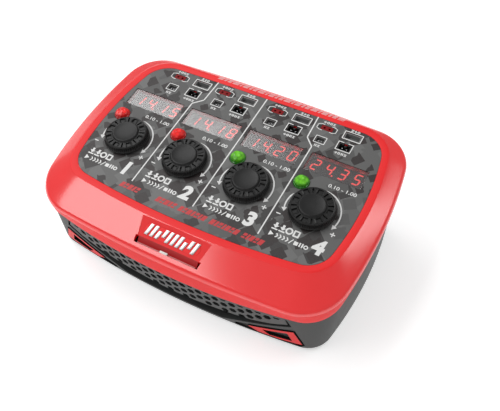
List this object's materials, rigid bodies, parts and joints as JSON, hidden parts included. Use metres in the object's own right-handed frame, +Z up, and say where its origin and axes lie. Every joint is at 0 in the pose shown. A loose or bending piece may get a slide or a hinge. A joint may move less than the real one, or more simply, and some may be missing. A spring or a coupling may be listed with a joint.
{
  "type": "balance battery charger",
  "caption": "Desktop balance charger with a sloped control panel; each channel has a turn-and-push knob, a lamp, a display and battery sockets.",
  "frame": {"origin": "on the ground under the middle of the body", "axes": "+X to the right, -Y towards the front grille, +Z up; the control panel rises to the back"},
  "size_m": [0.1462, 0.0963, 0.0506],
  "materials": {
    "red_shell": "satin moulded plastic",
    "printed_film": "printed polycarbonate film",
    "pale_plate": "satin",
    "dark_shell": "fine moulded texture",
    "black_plastic": "moulded",
    "red_trim": "gloss",
    "circuit_board": "solder mask",
    "ferrite": "sintered",
    "capacitor_sleeve": "shrink sleeve",
    "aluminium": "extruded",
    "screw_steel": "plated",
    "knob_plastic": "satin",
    "white_plastic": "moulded",
    "encoder_metal": "stamped",
    "display_face": "tinted epoxy",
    "micro_red": "moulded",
    "led_red": "tinted clear",
    "led_green": "tinted clear",
    "foot_rubber": "matte"
  },
  "bodies": {
    "base": {"top_cover": "red_shell", "panel_overlay": "printed_film", "emblem": "pale_plate", "lower_case": "dark_shell", "front_grille": "black_plastic", "accent_left": "red_trim", "accent_right": "red_trim", "control_board": "circuit_board", "power_board": "circuit_board", "transformer": "ferrite", "bulk_capacitor": "capacitor_sleeve", "heat_sink": "aluminium", "ac_inlet": "black_plastic", "dc_jack": "black_plastic", "case_screws": "screw_steel", "board_screws": "screw_steel", "foot_1": "foot_rubber", "foot_2": "foot_rubber", "foot_3": "foot_rubber", "foot_4": "foot_rubber", "encoder_body_1": "encoder_metal", "encoder_body_2": "encoder_metal", "encoder_body_3": "encoder_metal", "encoder_body_4": "encoder_metal", "led_1": "led_red", "led_2": "led_red", "led_3": "led_green", "led_4": "led_green", "display_1": "display_face", "display_2": "display_face", "display_3": "display_face", "display_4": "display_face", "micro_socket_1": "micro_red", "micro_socket_2": "micro_red", "micro_socket_3": "micro_red", "micro_socket_4": "micro_red", "slot_socket_1": "black_plastic", "slot_socket_2": "black_plastic", "slot_socket_3": "black_plastic", "slot_socket_4": "black_plastic", "pin_header_1": "black_plastic", "pin_header_2": "black_plastic", "pin_header_3": "black_plastic", "pin_header_4": "black_plastic", "notch_header_1": "black_plastic", "notch_header_2": "black_plastic", "notch_header_3": "black_plastic", "notch_header_4": "black_plastic"},
    "plunger_1": {"encoder_plunger_1": "white_plastic"},
    "knob_1": {"knob_1": "knob_plastic", "encoder_shaft_1": "screw_steel"},
    "plunger_2": {"encoder_plunger_2": "white_plastic"},
    "knob_2": {"knob_2": "knob_plastic", "encoder_shaft_2": "screw_steel"},
    "plunger_3": {"encoder_plunger_3": "white_plastic"},
    "knob_3": {"knob_3": "knob_plastic", "encoder_shaft_3": "screw_steel"},
    "plunger_4": {"encoder_plunger_4": "white_plastic"},
    "knob_4": {"knob_4": "knob_plastic", "encoder_shaft_4": "screw_steel"}
  },
  "joints": [
    {"name": "knob_push_1", "type": "slide", "parent": "base", "child": "plunger_1", "axis": [0, 0.1392, -0.9903], "range_m": [0, 0.0005], "stiffness_N_per_m": 1500, "springref_m": -0.001},
    {"name": "knob_turn_1", "type": "hinge", "parent": "plunger_1", "child": "knob_1", "pos_m": [-0.04545, -0.0046, 0.04355], "axis": [0, -0.1392, 0.9903], "continuous": true},
    {"name": "knob_push_2", "type": "slide", "parent": "base", "child": "plunger_2", "axis": [0, 0.1392, -0.9903], "range_m": [0, 0.0005], "stiffness_N_per_m": 1500, "springref_m": -0.001},
    {"name": "knob_turn_2", "type": "hinge", "parent": "plunger_2", "child": "knob_2", "pos_m": [-0.01545, -0.0046, 0.04355], "axis": [0, -0.1392, 0.9903], "continuous": true},
    {"name": "knob_push_3", "type": "slide", "parent": "base", "child": "plunger_3", "axis": [0, 0.1392, -0.9903], "range_m": [0, 0.0005], "stiffness_N_per_m": 1500, "springref_m": -0.001},
    {"name": "knob_turn_3", "type": "hinge", "parent": "plunger_3", "child": "knob_3", "pos_m": [0.01455, -0.0046, 0.04355], "axis": [0, -0.1392, 0.9903], "continuous": true},
    {"name": "knob_push_4", "type": "slide", "parent": "base", "child": "plunger_4", "axis": [0, 0.1392, -0.9903], "range_m": [0, 0.0005], "stiffness_N_per_m": 1500, "springref_m": -0.001},
    {"name": "knob_turn_4", "type": "hinge", "parent": "plunger_4", "child": "knob_4", "pos_m": [0.04455, -0.0046, 0.04355], "axis": [0, -0.1392, 0.9903], "continuous": true}
  ]
}
